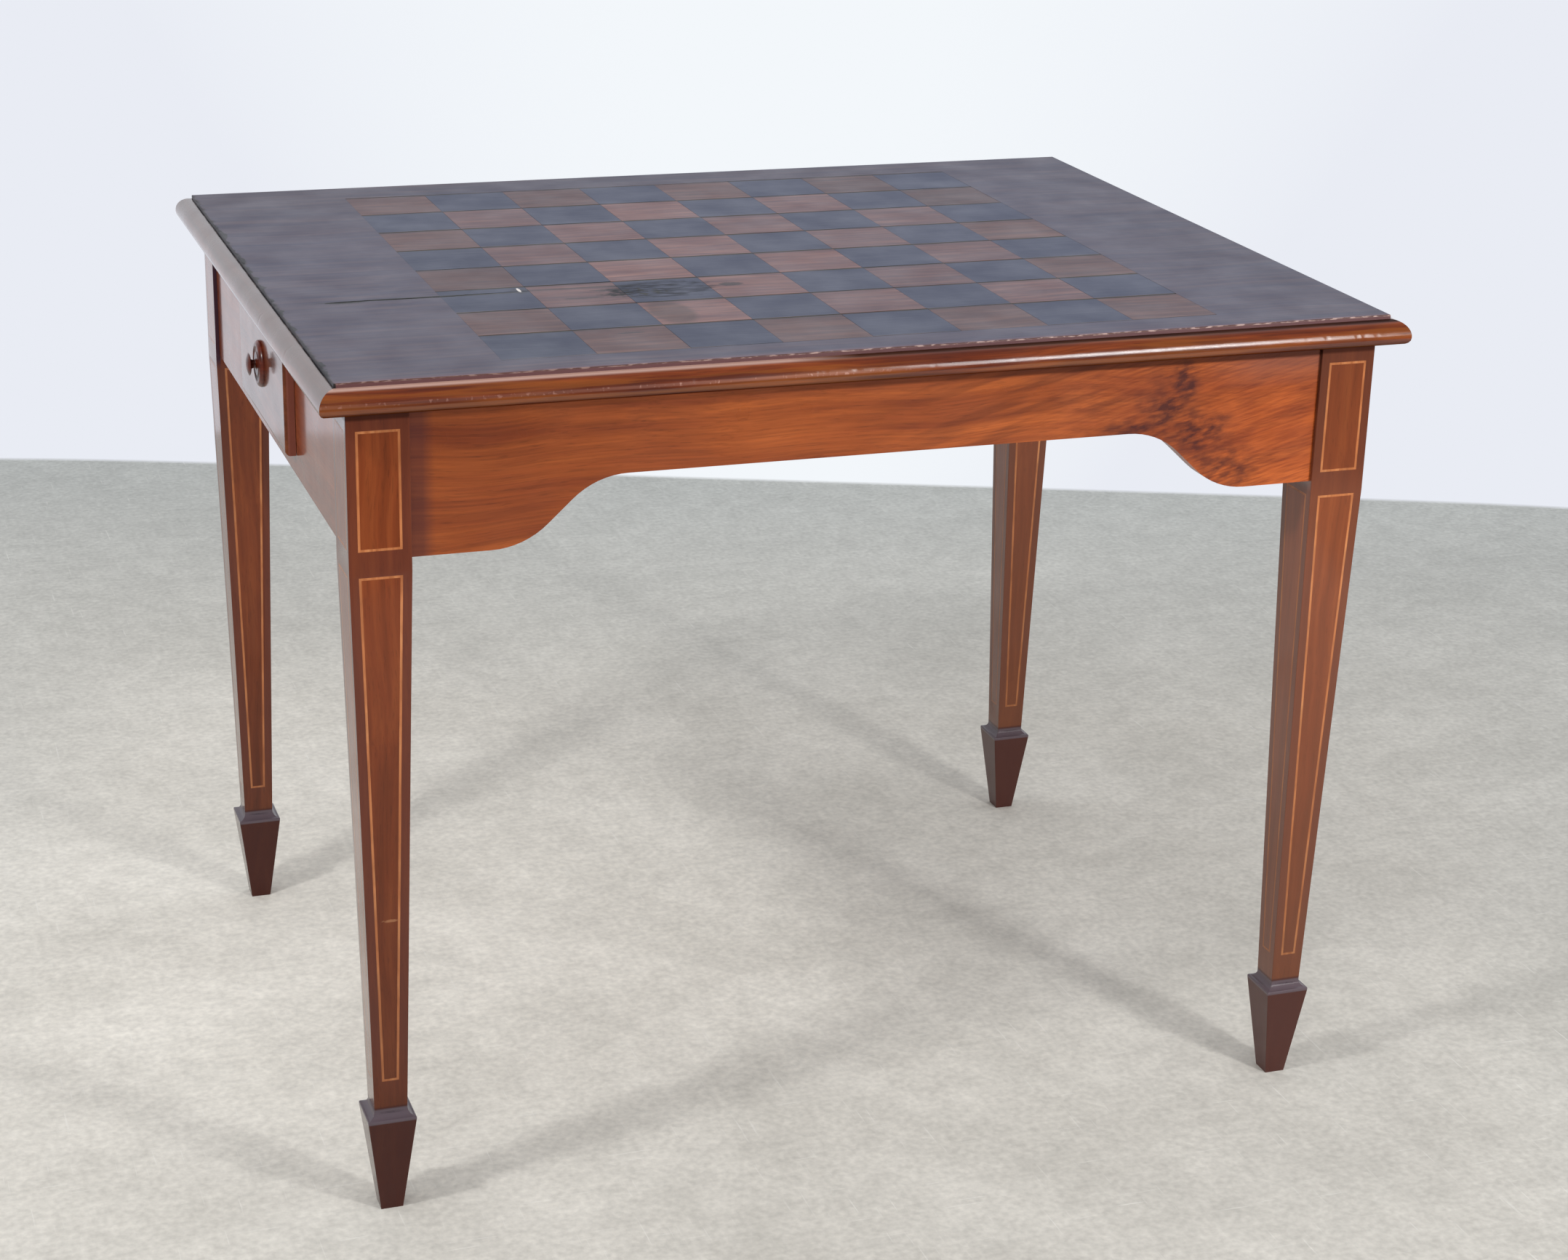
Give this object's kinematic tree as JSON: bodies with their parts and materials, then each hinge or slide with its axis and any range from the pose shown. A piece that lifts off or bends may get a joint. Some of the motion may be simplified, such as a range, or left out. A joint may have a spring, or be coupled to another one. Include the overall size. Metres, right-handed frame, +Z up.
{
  "type": "chess table",
  "caption": "Games table on square tapered legs with spade feet, chequered board let into the top, arched aprons, line inlay and an end drawer.",
  "frame": {"origin": "on the floor, under the middle of the top", "axes": "+Z up; +X along the long side, away from the drawer; the arched front faces -Y and the drawer end faces -X"},
  "size_m": [0.934, 0.734, 0.73],
  "materials": {
    "mahogany_top": "dark French polished mahogany, worn",
    "ebonised_square": "stained blue-black veneer, polished",
    "red_square": "reddish mahogany veneer, polished",
    "mahogany_moulding": "French polished mahogany",
    "mahogany_leg": "French polished mahogany",
    "mahogany_apron": "French polished figured mahogany",
    "mahogany_drawer_front": "French polished mahogany",
    "mahogany_knob": "turned mahogany, dark gloss polish",
    "boxwood": "boxwood line under amber polish",
    "drawer_lining": "planed, waxed hardwood",
    "pine": "planed pine, unfinished and aged",
    "steel_screw": "dull steel"
  },
  "bodies": {
    "table": {"top_panel": "mahogany_top", "board_dark_squares": "ebonised_square", "board_light_squares": "red_square", "edge_moulding_front": "mahogany_moulding", "edge_moulding_back": "mahogany_moulding", "edge_moulding_left": "mahogany_moulding", "edge_moulding_right": "mahogany_moulding", "leg_front_left": "mahogany_leg", "leg_stringing_front_left": "boxwood", "corner_block_front_left": "pine", "leg_front_right": "mahogany_leg", "leg_stringing_front_right": "boxwood", "corner_block_front_right": "pine", "leg_back_left": "mahogany_leg", "leg_stringing_back_left": "boxwood", "corner_block_back_left": "pine", "leg_back_right": "mahogany_leg", "leg_stringing_back_right": "boxwood", "corner_block_back_right": "pine", "apron_front": "mahogany_apron", "apron_back": "mahogany_apron", "apron_drawer_end": "mahogany_apron", "apron_plain_end": "mahogany_apron", "drawer_runner_front": "pine", "drawer_guide_front": "pine", "drawer_kicker_front": "pine", "drawer_runner_back": "pine", "drawer_guide_back": "pine", "drawer_kicker_back": "pine", "drawer_cross_rail": "pine", "glue_blocks": "pine", "top_screws": "steel_screw", "kicker_screws": "steel_screw"},
    "drawer": {"drawer_front": "mahogany_drawer_front", "drawer_side_front": "drawer_lining", "drawer_side_back": "drawer_lining", "drawer_back": "drawer_lining", "drawer_bottom": "drawer_lining", "drawer_bottom_screws": "steel_screw", "knob_rosette": "mahogany_knob", "drawer_knob": "mahogany_knob"}
  },
  "joints": [
    {"name": "drawer_slide", "type": "slide", "parent": "table", "child": "drawer", "axis": [-1, 0, 0], "range_m": [0, 0.2]}
  ]
}
